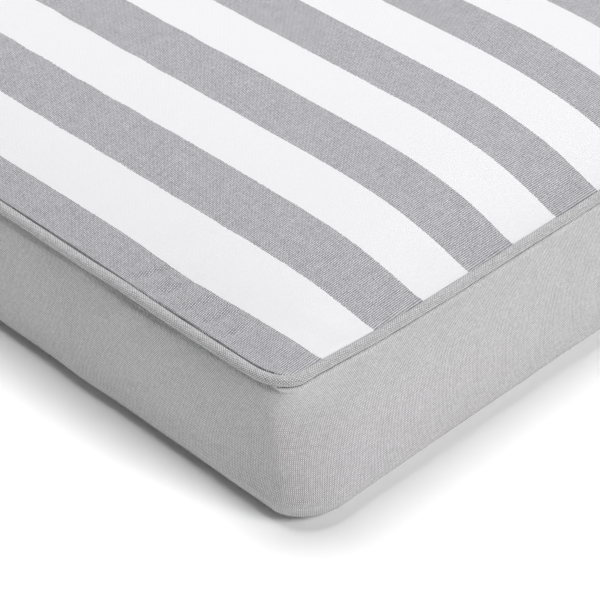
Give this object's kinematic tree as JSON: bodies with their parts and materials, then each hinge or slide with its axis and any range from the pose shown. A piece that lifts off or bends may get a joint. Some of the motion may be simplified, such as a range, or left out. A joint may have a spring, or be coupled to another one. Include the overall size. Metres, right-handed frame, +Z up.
{
  "type": "chair cushion",
  "caption": "Square box-edge seat cushion with a crowned striped top panel, piped top seam, plain canvas boxing and a rounded lower edge, for sitting on a chair or bench",
  "frame": {"origin": "middle of the cushion's underside, on the surface that it rests on", "axes": "+Z up out of the crowned top, the cushion's shortest way; X runs from side to side, across the stripes; -Y is the front, along the stripes"},
  "size_m": [0.5002, 0.5222, 0.1045],
  "materials": {
    "boxing_canvas": "plain grey cotton canvas with a fine upright rib, matt",
    "striped_cotton": "white and grey striped cotton weave, matt",
    "piping_canvas": "the boxing's grey canvas cut on the bias round a cord, matt",
    "base_canvas": "plain grey cotton canvas, matt"
  },
  "bodies": {
    "root": {"cushion_body": "boxing_canvas", "top_panel": "striped_cotton", "piping": "piping_canvas", "base_panel": "base_canvas"}
  },
  "joints": []
}
